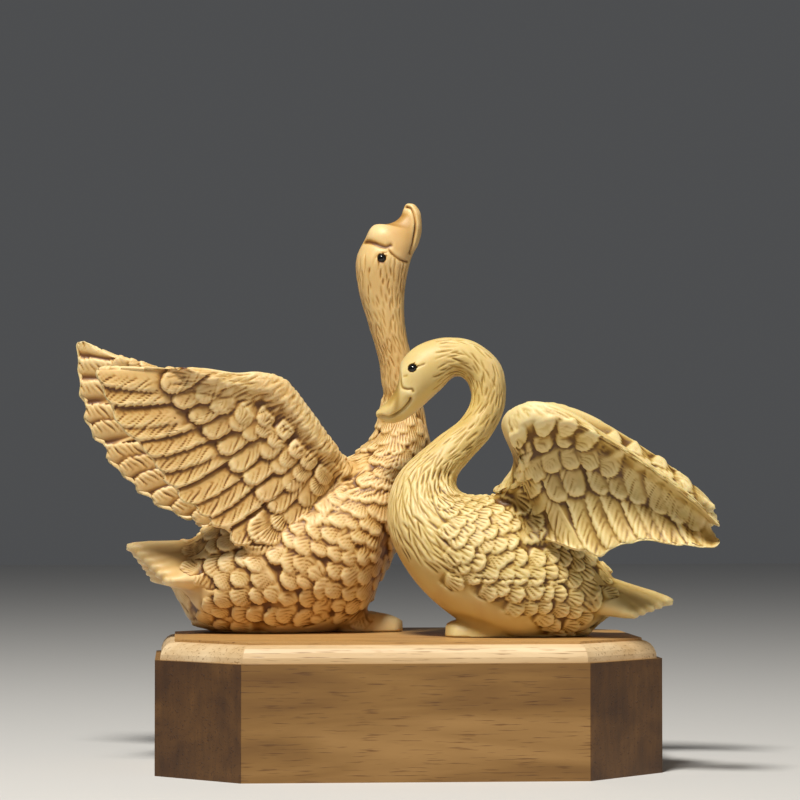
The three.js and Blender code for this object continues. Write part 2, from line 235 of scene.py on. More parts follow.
def coreObject(swan):
    at, _ = stepsAlong(swan, carving["spacing"])
    points = corePoints(swan, at[:, None], np.arange(carving["around"])[None, :] * 2 / carving["around"])

    def cap(ring, reach, centre):
        steps = np.arange(1, 10) / 10 * math.pi / 2
        return [centre + (ring - centre) * math.sin(a) + reach * math.cos(a) for a in steps]
    first, last = points[0].mean(0), points[-1].mean(0)
    startReach = np.array([-carving["poleLength"] * swan["facing"], 0, 0])
    endReach = unit(last - points[-3].mean(0)) * carving["tipLength"]
    rings = np.array(cap(points[0], startReach, first) + list(points) + cap(points[-1], endReach, last)[::-1])
    flat = np.concatenate([rings.reshape(-1, 3), [first + startReach, last + endReach]])
    return objectFrom(swan["name"], meshFrom(swan["name"], settle(flat, swan), gridFaces(len(rings), rings.shape[1])))


# Wings. Each row: leading edge x, z and stand-off from the middle plane, then the matching
# point on the line of feather tips. Feather rows run from the innermost feather to the outermost.
wingShared = {"thickRoot": 13, "thick": 6.5, "thickTip": 2.2}
nearRaisedWing = {
    "side": -1, "sag": 5, "rim": 1.2, "hollow": 2.5, "slant": 0.2, "band": 0.27, "endRound": 3,
    "streaks": [212, 212, 208, 200, 188],
    "rows": [
        [-14, 106, 17, -38, 82, 21], [-24, 117.5, 25.5, -49, 78.5, 28.5], [-33.5, 129.5, 31.5, -61, 79.5, 29.5],
        [-43, 140.6, 35, -73, 89.5, 30.5], [-53, 143.3, 38, -84, 99, 31.5], [-63, 144, 40, -94, 112.5, 33],
        [-71, 144.2, 41, -106, 127, 34.5], [-77, 144.5, 41.5, -113.5, 145, 36.5],
    ],
    "feathers": [
        {"count": 14, "reach": [0.985], "turn": [218, 206, 198, 192, 180, 168], "width": 9.6, "length": 36,
         "bend": [0.45, 0.5, 0.45, 0.3, 0.12], "blunt": 1.35, "level": -0.9, "lift": 0.4, "tilt": 1.1,
         "dome": 0.4, "barbs": 0.7, "ends": [0.05, 0.975]},
        {"count": 11, "reach": [0.72, 0.7, 0.63, 0.5, 0.42], "turn": [220, 208, 202, 196, 184], "width": 8.6,
         "length": 24, "bend": [0.5, 0.5, 0.4], "blunt": 1.2, "level": -0.3, "lift": 0.7, "tilt": 0.9,
         "dome": 0.4, "barbs": 0.55, "ends": [0.05, 0.9]},
        {"count": 9, "reach": [0.58, 0.54, 0.44, 0.34, 0.3], "turn": [226, 214, 206, 198], "width": 8,
         "length": 15, "bend": [0.35], "blunt": 1.05, "level": -0.1, "lift": 1.1, "tilt": 0.5, "dome": 0.5,
         "barbs": 0.4, "span": [0, 0.8]},
        {"count": 8, "reach": [0.46, 0.42, 0.33, 0.26], "turn": [228, 216, 208], "width": 7.2, "length": 10,
         "bend": [0.1], "blunt": 0.95, "level": 0, "lift": 1.3, "tilt": 0.1, "dome": 0.5, "fan": 0.4,
         "span": [0, 0.68]},
        {"count": 6, "reach": [0.36, 0.31, 0.26], "turn": [228, 218], "width": 6.8, "length": 9,
         "bend": [0.1], "blunt": 0.95, "level": 0.1, "lift": 1.2, "tilt": 0, "dome": 0.5, "fan": 0.4,
         "span": [0, 0.5]},
    ],
}
farRaisedWing = {
    "side": 1, "sag": 3, "rim": 1.2, "hollow": 1.5, "slant": 0.15, "band": 0.22, "endRound": 3,
    "streaks": [212, 210, 205, 190, 175],
    "rows": [
        [-14, 106, 22, -38, 84, 24], [-24, 118, 27, -52, 80, 29], [-33.5, 131, 31, -66, 83, 32],
        [-43, 141, 34, -80, 89, 34], [-56, 144.6, 36, -97, 98.5, 36], [-70, 145.8, 37, -111, 114, 38],
        [-83, 146.8, 38, -120, 133, 39], [-95, 147.8, 39, -122.5, 159, 40],
    ],
    "feathers": [
        {"count": 15, "reach": [0.985], "turn": [215, 205, 195, 185, 172, 160], "width": 9.8, "length": 36,
         "bend": [0.4, 0.4, 0.3, 0.15], "blunt": 1.25, "level": -0.9, "lift": 0.5, "tilt": 1.1,
         "dome": 0.5, "barbs": 0.7, "ends": [0.04, 0.975]},
        {"count": 10, "reach": [0.72, 0.66, 0.58, 0.5], "turn": [215, 205, 192, 172], "width": 8.6,
         "length": 20, "bend": [0.4], "blunt": 1.2, "level": -0.2, "lift": 1.1, "tilt": 0.6, "dome": 0.5,
         "barbs": 0.4},
        {"count": 10, "reach": [0.5, 0.45, 0.38, 0.3], "turn": [220, 205, 195, 175], "width": 7.6,
         "length": 12, "bend": [0.3], "blunt": 1.1, "level": 0.2, "lift": 1.3, "tilt": 0.3, "dome": 0.5,
         "fan": 0.3},
        {"count": 9, "reach": [0.34, 0.3, 0.24, 0.16], "turn": [225, 208, 195], "width": 6.8, "length": 10,
         "bend": [0.2], "blunt": 1, "level": 0.4, "lift": 1.3, "tilt": 0.1, "dome": 0.5, "fan": 0.3},
    ],
}
nearBowedWing = {
    "side": -1, "sag": 0, "rim": 2.6, "hollow": 9, "slant": 0, "band": 0.1, "endRound": 0.6,
    "streaks": [-60, -50, -35, -35, -38],
    "rows": [
        [32, 100, 13, 42, 84, 19], [37.5, 111, 25, 51, 81.5, 27], [31.5, 124, 37, 59, 78.5, 32],
        [38, 131, 42, 66.5, 76.4, 34], [50, 130, 44, 74.5, 79.5, 36], [64, 122.3, 44, 83, 81.5, 38],
        [80, 111.4, 44, 92, 80.5, 40], [95, 99.8, 43, 101, 79.8, 41], [106, 88.5, 41, 108.5, 81, 41],
    ],
    "feathers": [
        {"count": 12, "reach": [0.985], "turn": [-32, -42, -56, -60, -58, -52], "width": 8.6, "length": 36,
         "bend": [0.5, 0.35, 0.2, 0.1], "blunt": 1.5, "level": -0.7, "lift": 0.3, "tilt": 0.8, "dome": 0.3,
         "barbs": 0.5},
        {"count": 9, "reach": [0.66, 0.62, 0.6, 0.62], "turn": [-40, -52, -62, -62, -58], "width": 8,
         "length": 22, "bend": [0.4, 0.2], "blunt": 1.3, "level": -0.2, "lift": 0.8, "tilt": 0.6,
         "dome": 0.4, "barbs": 0.5, "span": [0.1, 0.95]},
        {"count": 6, "reach": [0.5, 0.46, 0.42, 0.42], "turn": [-50, -66, -66], "width": 8, "length": 12,
         "bend": [0.3], "blunt": 1, "level": 0.2, "lift": 1.1, "tilt": 0.3, "dome": 0.5, "fan": 0.25,
         "span": [0.12, 0.62]},
        {"count": 5, "reach": [0.34, 0.3, 0.28], "turn": [-60, -72, -68], "width": 7.4, "length": 10,
         "bend": [0.2], "blunt": 1, "level": 0.4, "lift": 1.2, "tilt": 0.2, "dome": 0.5, "fan": 0.25,
         "span": [0.14, 0.55]},
        {"count": 4, "reach": [0.2], "turn": [-64, -76], "width": 7, "length": 9,
         "bend": [0.1], "blunt": 1, "level": 0.5, "lift": 1.2, "tilt": 0.1, "dome": 0.5, "fan": 0.25,
         "span": [0.16, 0.5]},
    ],
}
farBowedWing = {
    "side": 1, "sag": 0, "rim": 1.2, "hollow": 4, "slant": 0, "band": 0.14, "endRound": 0.6,
    "streaks": [-60, -50, -35, -35, -38],
    "rows": [
        [38, 99, 21, 50, 84, 23], [43, 112, 28, 58, 81, 28], [43, 124, 33, 66, 79, 31],
        [50, 131.5, 37, 73, 78.5, 33], [58, 133.2, 39, 81, 80, 35], [72, 128.5, 40, 92, 82, 37],
        [88, 119, 40, 103, 83.5, 38], [103, 108, 39, 113, 85, 38], [116, 96, 38, 119, 88, 38],
    ],
    "feathers": [
        {"count": 11, "reach": [0.985], "turn": [-40, -50, -58, -58, -52], "width": 8.6, "length": 32,
         "bend": [0.4, 0.25, 0.1], "blunt": 1.4, "level": -0.9, "lift": 0.5, "tilt": 0.9, "dome": 0.4,
         "barbs": 0.6},
        {"count": 10, "reach": [0.66, 0.62, 0.6], "turn": [-45, -58, -60, -56], "width": 8, "length": 20,
         "bend": [0.3], "blunt": 1.2, "level": -0.1, "lift": 1, "tilt": 0.5, "dome": 0.5, "barbs": 0.4},
        {"count": 10, "reach": [0.44, 0.4, 0.38], "turn": [-52, -62, -58], "width": 7.4, "length": 12,
         "bend": [0.2], "blunt": 1, "level": 0.2, "lift": 1.2, "tilt": 0.2, "dome": 0.5, "fan": 0.3},
        {"count": 10, "reach": [0.26, 0.23], "turn": [-58, -62, -56], "width": 6.8, "length": 10,
         "bend": [0.1], "blunt": 1, "level": 0.4, "lift": 1.2, "tilt": 0.1, "dome": 0.5, "fan": 0.3},
    ],
}
raisedSwan["wings"] = [nearRaisedWing, farRaisedWing]
bowedSwan["wings"] = [nearBowedWing, farBowedWing]


def wingPoint(wing, q, r):
    rows = between(wing["rows"], q * (len(wing["rows"]) - 1))
    x, z, out, tipX, tipZ, tipOut = (rows[..., k] for k in range(6))
    bend = wing["sag"] * 4 * r * (1 - r) * np.sin(math.pi * np.minimum(1, q * 1.15))
    length = np.hypot(tipX - x, tipZ - z)
    turnX, turnZ = (tipZ - z) / length, -(tipX - x) / length
    way = np.where(turnZ > 0, -1, 1)
    return (x + (tipX - x) * r + way * turnX * bend, z + (tipZ - z) * r + way * turnZ * bend,
            out + (tipOut - out) * r, length)


# Tip, direction and size of each feather in one row of a wing, seen from the side.
def featherRow(wing, row, seed):
    rng = np.random.default_rng(seed)
    low, high = row.get("span", [0, 1])
    q = np.linspace(low, high, 240)
    x, z, out, _ = wingPoint(wing, q, along(row["reach"], q))
    length = np.concatenate([[0], np.cumsum(np.hypot(np.diff(x), np.diff(z)))]) / 1
    first, last = row.get("ends", [0.04, 0.96])
    place = np.linspace(first, last, row["count"]) + rng.uniform(-0.13, 0.13, row["count"]) / row["count"]
    at = np.interp(place * length[-1], length, q)
    x, z, out, size = wingPoint(wing, at, along(row["reach"], at) + rng.uniform(-0.012, 0.012, row["count"]))
    small = smooth(4, 28, size)
    angle = np.radians(along(row["turn"], at) + rng.uniform(-3, 3, row["count"]))
    grow = rng.uniform(0.93, 1.07, row["count"])
    feathers = []
    for k in range(row["count"]):
        style = dict(row, width=row["width"] * grow[k], bend=float(along(row["bend"], at[k])),
                     seed=float(rng.random()), length=min(row["length"], 0.95 * size[k]))
        for part in ("level", "lift", "tilt", "dome", "barbs", "fan"):
            if part in row:
                style[part] = row[part] * small[k]
        feathers.append((np.array([x[k], z[k]]), float(out[k]), float(angle[k]), style))
    return feathers


# Where a point lies on a feather: distance back from the tip, across it towards its lower
# edge, and how far inside its outline.
def onFeather(back, across, style):
    half = style["width"] / 2
    across = across + style["bend"] * back ** 2 / style["length"]
    end = style["blunt"] * half
    ratio = np.hypot(across / half, np.clip((end - back) / end, 0, None))
    inside = np.where((back < style["length"]), (1 - ratio) * half, -1)
    return across, inside


def lowerEdge(angle):
    return np.array([-math.sin(angle), math.cos(angle)]) * (1 if math.cos(angle) < 0 else -1)


# How far each line from the leading edge runs before it leaves the long feathers.
def outline(wing, q0, feathers):
    r = np.linspace(0.55, 1.04, 120)
    Q0, R = np.meshgrid(q0, r, indexing="ij")
    x, z, _, _ = wingPoint(wing, slanted(wing, Q0, R), R)
    covered = np.zeros(R.shape, bool)
    for tip, _, angle, style in feathers:
        axis, lower = np.array([math.cos(angle), math.sin(angle)]), lowerEdge(angle)
        dx, dz = x - tip[0], z - tip[1]
        _, inside = onFeather(-(dx * axis[0] + dz * axis[1]), dx * lower[0] + dz * lower[1], style)
        covered |= inside > 0
    reach = np.where(covered, R, 0.72).max(1)
    return np.clip(reach, 0.72, 1)


def slanted(wing, q0, r):
    return q0 - wing["slant"] * np.sin(math.pi * q0) * (1 - r)


def wingObject(name, wing, swan):
    rows = np.array(wing["rows"])
    tipLine = np.linalg.norm(np.diff(rows[:, 3:5], axis=0), axis=1).sum()
    columns = int(tipLine / carving["wingStep"])
    lines = int(np.linalg.norm(rows[:, 3:5] - rows[:, :2], axis=1).max() / carving["wingStep"])
    q0 = np.linspace(0, 1, columns + 1)
    line = np.linspace(0, 1, lines + 1)[1:]
    line = line + 0.5 * line * (1 - line) * (line - 0.5)
    reach = outline(wing, q0, featherRow(wing, wing["feathers"][0], 100))
    Q0, L = np.meshgrid(q0, line, indexing="ij")
    R = L * reach[:, None]
    Q = slanted(wing, Q0, R)
    x, z, out, length = wingPoint(wing, Q, R)
    root = 1 - smooth(0.05, 0.45, Q)
    shared = wingShared
    fall = shared["thick"] + (shared["thickTip"] - shared["thick"]) * smooth(0.1, 1, L)
    rounded = np.sqrt(np.clip(1 - (1 - np.minimum(1, L / 0.17)) ** 2, 0, 1))
    fromEnd = (1 - Q0) * tipLine
    sideRound = np.sqrt(np.clip(1 - (1 - np.minimum(1, fromEnd / wing["endRound"])) ** 2, 0, 1))
    rounded = rounded * (0.12 + 0.88 * sideRound)
    width = (fall + root * shared["thickRoot"] * (1 - 0.75 * L)) * rounded
    toEnd = np.clip((1 - L) * length / 1.8, 0, 1)
    closing = 0.5 * width * (1 - np.sqrt(np.clip(1 - (1 - toEnd) ** 2, 0.05, 1)))
    cup = wing["hollow"] * np.sin(math.pi * np.minimum(1, L * 1.02)) ** 0.8 * smooth(0.07, 0.26, L)
    rim = wing["rim"] * (1 - smooth(0.1, 0.24, L)) * rounded
    lead = wingPoint(wing, slanted(wing, q0, 0 * q0), np.zeros(len(q0)))
    edge = (shared["thick"] + root * shared["thickRoot"]) / 2
    outer = out - edge + (edge - cup + rim) * rounded - closing
    inner = out - edge + (edge - cup) * rounded - width + closing
    side = wing["side"]
    top = np.stack([lead[0], side * (lead[2] - edge[:, 0]), lead[1]], -1)[:, None, :]
    face = np.stack([x, side * outer, z], -1)
    under = np.stack([x, side * inner, z], -1)[:, ::-1]
    rings = settle(np.concatenate([top, face, under], 1), swan, True)
    around = rings.shape[1]
    i, j = np.meshgrid(np.arange(columns), np.arange(around), indexing="ij")
    a, b = i * around + j, i * around + (j + 1) % around
    faces = np.stack([a, b, b + around, a + around], -1).reshape(-1, 4).tolist()
    for base, turned in ((0, True), (columns * around, False)):
        for k in range(lines):
            far, near = base + (around - k - 1) % around, base + (around - k) % around
            cell = [base + k, base + k + 1, far] + ([near] if k else [])
            faces.append(cell[::-1] if turned else cell)
    return objectFrom(name, meshFrom(name, rings.reshape(-1, 3), faces))


# One tail feather, pointing along +X from its root at the origin, one unit long.
def bladeMesh(width, thick, length):
    shape = [[0.85, 2], [1, 1.75], [1, 1.3], [0.95, 0.85], [0.7, 0.55], [0.3, 0.3]]
    t = 1 - (1 - np.linspace(0, 0.99, 72)) ** 1.25
    w, h = between(shape, np.interp(t, [0, 0.2, 0.45, 0.78, 0.93, 1], range(6))).T
    angle = np.linspace(0, 2 * math.pi, 56, endpoint=False)
    T, A = np.meshgrid(t, angle, indexing="ij")
    points = np.stack([T * length, width / 2 * w[:, None] * np.sin(A), thick / 2 * h[:, None] * np.cos(A)], -1)
    flat = np.concatenate([points.reshape(-1, 3), [[-1, 0, 0], [length, 0, 0]]])
    return meshFrom("tailFeather", flat, gridFaces(len(t), len(angle)))


# A node tree that sets out tail feathers as a fan: named sizes in, one mesh out.
def fanTree():
    tree = bpy.data.node_groups.new("tailFan", "GeometryNodeTree")
    tree.interface.new_socket("Geometry", in_out="OUTPUT", socket_type="NodeSocketGeometry")
    tree.interface.new_socket("Feather", in_out="INPUT", socket_type="NodeSocketObject")
    tree.interface.new_socket("Count", in_out="INPUT", socket_type="NodeSocketInt")
    for label in ("Root Spread", "Tip Spread", "Root Drop", "Tip Drop", "Shorten", "Length", "Rise"):
        tree.interface.new_socket(label, in_out="INPUT", socket_type="NodeSocketFloat")
    tree.interface.new_socket("Wood", in_out="INPUT", socket_type="NodeSocketMaterial")
    node, link = tree.nodes.new, tree.links.new
    given, result = node("NodeGroupInput"), node("NodeGroupOutput")

    def math2(kind, a, b):
        step = node("ShaderNodeMath")
        step.operation = kind
        for socket, value in zip(step.inputs, (a, b)):
            if isinstance(value, (int, float)):
                socket.default_value = value
            elif value is not None:
                link(value, socket)
        return step.outputs[0]

    def vector(x, y, z):
        step = node("ShaderNodeCombineXYZ")
        for socket, value in zip(step.inputs, (x, y, z)):
            if isinstance(value, (int, float)):
                socket.default_value = value
            else:
                link(value, socket)
        return step.outputs[0]
    points = node("GeometryNodeMeshLine")
    link(given.outputs["Count"], points.inputs["Count"])
    points.inputs["Offset"].default_value = (0, 0, 0)
    index = node("GeometryNodeInputIndex").outputs[0]
    half = math2("MULTIPLY", math2("SUBTRACT", given.outputs["Count"], 1), 0.5)
    place = math2("SUBTRACT", index, half)
    away = math2("ABSOLUTE", place, None)
    root = vector(0.0, math2("MULTIPLY", place, given.outputs["Root Spread"]),
                  math2("MULTIPLY", away, math2("MULTIPLY", given.outputs["Root Drop"], -1)))
    reach = math2("SUBTRACT", given.outputs["Length"], math2("MULTIPLY", away, given.outputs["Shorten"]))
    tip = vector(reach, math2("MULTIPLY", place, given.outputs["Tip Spread"]),
                 math2("SUBTRACT", given.outputs["Rise"], math2("MULTIPLY", away, given.outputs["Tip Drop"])))
    arm = node("ShaderNodeVectorMath")
    arm.operation = "SUBTRACT"
    link(tip, arm.inputs[0])
    link(root, arm.inputs[1])
    size = node("ShaderNodeVectorMath")
    size.operation = "LENGTH"
    link(arm.outputs[0], size.inputs[0])
    aim = node("FunctionNodeAlignRotationToVector")
    aim.axis = "X"
    link(arm.outputs[0], aim.inputs["Vector"])
    move = node("GeometryNodeSetPosition")
    link(points.outputs[0], move.inputs["Geometry"])
    link(root, move.inputs["Position"])
    feather = node("GeometryNodeObjectInfo")
    link(given.outputs["Feather"], feather.inputs["Object"])
    copies = node("GeometryNodeInstanceOnPoints")
    link(move.outputs[0], copies.inputs["Points"])
    link(feather.outputs["Geometry"], copies.inputs["Instance"])
    link(aim.outputs[0], copies.inputs["Rotation"])
    link(vector(math2("DIVIDE", size.outputs["Value"], given.outputs["Length"]), 1.0, 1.0), copies.inputs["Scale"])
    real = node("GeometryNodeRealizeInstances")
    link(copies.outputs[0], real.inputs[0])
    paint = node("GeometryNodeSetMaterial")
    link(real.outputs[0], paint.inputs["Geometry"])
    link(given.outputs["Wood"], paint.inputs["Material"])
    link(paint.outputs[0], result.inputs[0])
    return tree


def setInput(modifier, label, value):
    for item in modifier.node_group.interface.items_tree:
        if item.name == label and item.in_out == "INPUT":
            modifier[item.identifier] = value


# The fan's feathers as separate closed meshes, so that they can be joined one by one.
def tailFan(swan, tree, wood):
    tail = swan["tail"]
    (rootX, rootZ), (tipX, tipZ) = tail["root"], tail["tip"]
    length = abs(tipX - rootX)
    feather = objectFrom("feather", bladeMesh(tail["width"], tail["thick"], length))
    fan = objectFrom("tail", bpy.data.meshes.new("tail"))
    step = fan.modifiers.new("fan", "NODES")
    step.node_group = tree
    values = {"Feather": feather, "Count": 2 * tail["each"] + 1, "Root Spread": tail["spread"] * 0.45 * mm,
              "Tip Spread": tail["spread"] * 0.72 * mm, "Root Drop": tail["drop"] * 0.5 * mm,
              "Tip Drop": tail["drop"] * mm, "Shorten": tail["shorten"] * mm, "Length": length * mm,
              "Rise": (tipZ - rootZ) * mm, "Wood": wood}
    for label, value in values.items():
        setInput(step, label, value)
    mesh = bareMesh(fan)
    whole = numbersOf(mesh.vertices, "co", 3) / mm
    way = math.copysign(1, tipX - rootX)
    whole = whole * [way, way, 1] + [rootX, 0, rootZ]
    count = len(feather.data.vertices)
    faces = [list(face.vertices) for face in feather.data.polygons]
    parts = []
    for k in range(2 * tail["each"] + 1):
        piece = settle(whole[k * count:(k + 1) * count], swan)
        parts.append(objectFrom(f"tail{k}", meshFrom(f"tail{k}", piece, faces)))
    bpy.data.objects.remove(feather)
    bpy.data.objects.remove(fan)
    return parts


def covertLeaf(swan):
    size = swan["covert"]
    (rootX, rootZ), (tipX, tipZ) = size["root"], size["tip"]
    length = math.hypot(tipX - rootX, tipZ - rootZ)
    mesh = bladeMesh(size["width"], size["thick"], length)
    co = numbersOf(mesh.vertices, "co", 3) / mm
    dx, dz = (tipX - rootX) / length, (tipZ - rootZ) / length
    turned = np.stack([rootX + co[:, 0] * dx - co[:, 2] * dz, co[:, 1], rootZ + co[:, 0] * dz + co[:, 2] * dx], -1)
    faces = [list(face.vertices) for face in mesh.polygons]
    return objectFrom("covert", meshFrom("covert", settle(turned, swan), faces))


def footObject(size, side, swan):
    t = (1 - np.cos(np.linspace(0.02, 1, 50) * math.pi)) / 2 * 0.99
    width = size["width"] / 2 * np.sqrt(np.clip(1 - (2 * t - 1.02) ** 2 * 0.72, 0, 1))
    width = width * np.sqrt(np.clip((1 - t) / 0.12, 0, 1) * np.clip((t + 0.03) / 0.1, 0, 1)).clip(0, 1)
    height = size["height"] * np.where(t < 0.5, 1, np.sqrt(np.clip(1 - ((t - 0.5) * 1.75) ** 2, 0, 1)))
    T, A = np.meshgrid(t, np.linspace(0, 2 * math.pi, 56, endpoint=False), indexing="ij")
    reach = size["toe"] - size["heel"]
    points = np.stack([size["heel"] + reach * T, side * size["spacing"] + width[:, None] * np.sin(A),
                       restHeight + np.maximum(0, height[:, None] * np.cos(A))], -1)
    ends = [[size["heel"] + reach * f, side * size["spacing"], restHeight] for f in (-0.02, 1)]
    flat = np.concatenate([points.reshape(-1, 3), ends])
    return objectFrom("foot", meshFrom("foot", settle(flat, swan), gridFaces(len(t), 56)))


def join(base, others, operation="UNION"):
    for k, other in enumerate(others):
        step = base.modifiers.new(f"join{k}", "BOOLEAN")
        step.operation, step.solver, step.object = operation, "MANIFOLD", other
    settleModifiers(base)
    for other in others:
        bpy.data.objects.remove(other)


# Carving. A skin holds the joined surface and what the strokes do to it, in millimetres.
def skinOf(thing):
    mesh = thing.data
    points = numbersOf(mesh.vertices, "co", 3) / mm
    edges = numbersOf(mesh.edges, "vertices", 2, int)
    normals = unit(evened(numbersOf(mesh.vertex_normals, "vector", 3), edges, 5))
    order = np.argsort(points[:, 0])
    tree = KDTree(len(points[::4]))
    for k, point in enumerate(points[::4]):
        tree.insert(point, 4 * k)
    tree.balance()
    return {"points": points, "normals": normals, "order": order, "sorted": points[order, 0],
            "edges": edges, "tree": tree,
            "height": np.full(len(points), -9.0), "soft": np.ones(len(points)),
            "cut": np.zeros(len(points)), "grow": np.zeros(len(points))}


# Vertices under a stroke, with their distance back from its tip and across it.
def under(skin, tip, axis, normal, length, width, depth=7):
    middle, reach = tip - axis * length / 2, length / 2 + width / 2
    low, high = np.searchsorted(skin["sorted"], [middle[0] - reach, middle[0] + reach])
    near = skin["order"][low:high]
    near = near[(np.abs(skin["points"][near] - middle) < reach).all(1)]
    near = near[skin["normals"][near] @ normal > 0.2]
    offset = skin["points"][near] - tip
    fits = np.abs(offset @ normal) < depth
    near, offset = near[fits], offset[fits]
    return near, -(offset @ axis), offset @ np.cross(normal, axis)


# Raises one feather or scale, highest at its tip and, with tilt, along its lower edge.
def raiseFeather(skin, tip, axis, normal, style, flip):
    near, back, across = under(skin, tip, axis, normal, style["length"], style["width"], style.get("depth", 9))
    across, inside = onFeather(back, across * flip, style)
    fits = inside > 0
    near, back, across, inside = near[fits], back[fits], across[fits], inside[fits]
    half = style["width"] / 2
    rise = np.clip(1 - back / style["length"], 0, 1)
    w = across / half
    height = style["level"] + style["lift"] * rise ** style.get("steep", 1.5) - style["dome"] * w * w * rise
    height += style["tilt"] * w * smooth(0, 0.35, rise) * style.get("face", 1)
    hidden = smooth(0.55, 1, back / style["length"])
    height -= 0.4 * (1 - smooth(0, 0.9, inside)) + 1.3 * hidden
    if style.get("barbs"):
        high = w * style.get("face", 1)
        run = (-back - np.abs(across) * 1.15) / 2.5 + 7 * style["seed"] + 0.12 * np.sin(back * 0.9)
        strong = 0.65 + 0.35 * np.sin(2.4 * np.floor(run) + 20 * style["seed"])
        line = strong * np.exp(-((run - np.floor(run) - 0.5) / 0.19) ** 2)
        height -= style["barbs"] * line * smooth(-0.35, 0.5, high) * smooth(0.1, 0.35, rise)
    if style.get("fan"):
        focus = 0.92 * style["length"]
        angle = np.arctan2(across, np.maximum(focus - back, 0.3))
        run = angle * style.get("lines", 9) + 7 * style["seed"]
        line = np.exp(-((run - np.floor(run) - 0.5) / 0.23) ** 2)
        height -= style["fan"] * line * smooth(0.3, 0.62, rise) * smooth(0.2, 0.9, inside)
    wins = height > skin["height"][near]
    skin["height"][near[wins]] = height[wins]
    skin["soft"][near[wins]] = hidden[wins]


def cutHair(skin, tip, axis, normal, length, width, depth, bend=0):
    near, back, across = under(skin, tip, axis, normal, length, width * 5, 4)
    fits = (back > 0) & (back < length)
    near, back, across = near[fits], back[fits], across[fits] + bend * back[fits] ** 2 / length
    cut = depth * np.sin(math.pi * back / length) ** 0.6 * np.exp(-(across / width) ** 2)
    skin["cut"][near] = np.maximum(skin["cut"][near], cut)


# Strokes laid in a loose pattern over part of a body.
def hairOver(skin, swan, plan, seed):
    rng = np.random.default_rng(seed)
    at, girth = stepsAlong(swan, plan["length"] * plan["pitch"], *plan["sections"])
    for ringAt, ringGirth in zip(at, girth):
        count = int(ringGirth / plan["gap"])
        turn = (np.arange(count) + rng.uniform(-0.35, 0.35, count) + rng.random()) * 2 / count
        jitter = ringAt + rng.uniform(-0.5, 0.5, count) * (at[1] - at[0])
        tips, ahead, outward = coreFrame(swan, jitter, turn)
        for k in range(count):
            if not plan["where"](tips[k]) or rng.random() < plan["skip"]:
                continue
            axis = leaning(-ahead[k], outward[k], plan["down"], rng.normal(0, plan["stray"]))
            cutHair(skin, tips[k], axis, outward[k], plan["length"] * rng.uniform(0.6, 1.35),
                    plan["width"] * rng.uniform(0.8, 1.25), plan["depth"] * rng.uniform(0.5, 1.2),
                    rng.normal(0, 0.12))


# Short cuts scattered over a chosen part of the skin, each along a given direction.
def hairWhere(skin, chosen, aim, plan, seed):
    rng = np.random.default_rng(seed)
    picks = np.nonzero(chosen)[0]
    if not len(picks):
        return
    across = unit(np.cross(aim, [0.3, 1, 0.2]))
    cell = np.stack([skin["points"][picks] @ aim / (plan["length"] * 0.6),
                     skin["points"][picks] @ across / plan["gap"],
                     skin["normals"][picks] @ [0.7, 1.1, 0.4] * 1.5], -1)
    _, one = np.unique(np.round(cell), axis=0, return_index=True)
    for pick in rng.permutation(picks[one]):
        normal = skin["normals"][pick]
        axis = unit(aim - normal * (aim @ normal))
        axis = unit(axis + math.tan(rng.normal(0, plan["stray"])) * np.cross(normal, axis))
        tip = skin["points"][pick] + unit(axis) * rng.uniform(-0.3, 0.3) * plan["length"]
        cutHair(skin, tip, axis, normal, plan["length"] * rng.uniform(0.6, 1.4), plan["width"],
                plan["depth"] * rng.uniform(0.5, 1.2), rng.normal(0, 0.1))


# A direction on the surface, pulled downwards by a share and turned by a small stray angle.
def leaning(axis, normal, down, stray):
    pull = np.array([0, 0, -1.0])
    axis = axis + down * (pull - normal * (pull @ normal))
    axis = unit(axis - normal * (axis @ normal))
    return unit(axis + math.tan(stray) * np.cross(normal, axis))


# The skin's nearest point to a place, if it faces much the same way.
def onSkin(skin, place, outward, reach):
    _, number, distance = skin["tree"].find(place)
    normal = skin["normals"][number]
    if distance > reach or normal @ outward < 0.35:
        return None, None
    offset = place - skin["points"][number]
    return place - normal * (offset @ normal), normal


def scalesOver(skin, swan, plan, seed):
    rng = np.random.default_rng(seed)
    start, end = plan["sections"]
    at, row = start, 0
    fine, _ = stepsAlong(swan, 0.1, start, end)
    place = 0.0
    while place < len(fine) * 0.1:
        at = fine[int(place / 0.1)]
        share = (at - start) / (end - start)
        width, pitch = along(plan["width"], share), along(plan["pitch"], share)
        ring = corePoints(swan, np.full(65, at), np.linspace(0, 2, 65))
        girth = np.linalg.norm(np.diff(ring, axis=0), axis=1).sum()
        count = max(6, int(round(girth / width)))
        turn = (np.arange(count) + 0.5 * (row % 2) + rng.uniform(-0.16, 0.16, count)) * 2 / count
        jitter = at + rng.uniform(-0.08, 0.08, count)
        tips, ahead, outward = coreFrame(swan, jitter, turn)
        for k in range(count):
            if not plan["where"](tips[k]) or rng.random() < plan["skip"] * share ** 3:
                continue
            tip, normal = onSkin(skin, tips[k] + 3 * outward[k], outward[k], plan["reach"])
            if tip is None:
                continue
            axis = leaning(-ahead[k], normal, plan["down"], rng.normal(0, 0.14))
            grow = rng.uniform(0.86, 1.16)
            style = {"width": girth / count * 1.18 * grow, "length": pitch * 2.2 * grow, "bend": 0, "blunt": 0.95,
                     "level": -0.5 * (1 - share ** 2), "dome": 0.5, "tilt": rng.normal(0, 0.12),
                     "lift": plan["lift"] * rng.uniform(0.8, 1.2) * (1 - 0.55 * share ** 2),
                     "fan": plan["fan"], "lines": plan["lines"] * rng.uniform(0.8, 1.2), "seed": rng.random(),
                     "depth": 5, "steep": 2.2}
            raiseFeather(skin, tip, axis, normal, style, 1)
        place += pitch
        row += 1


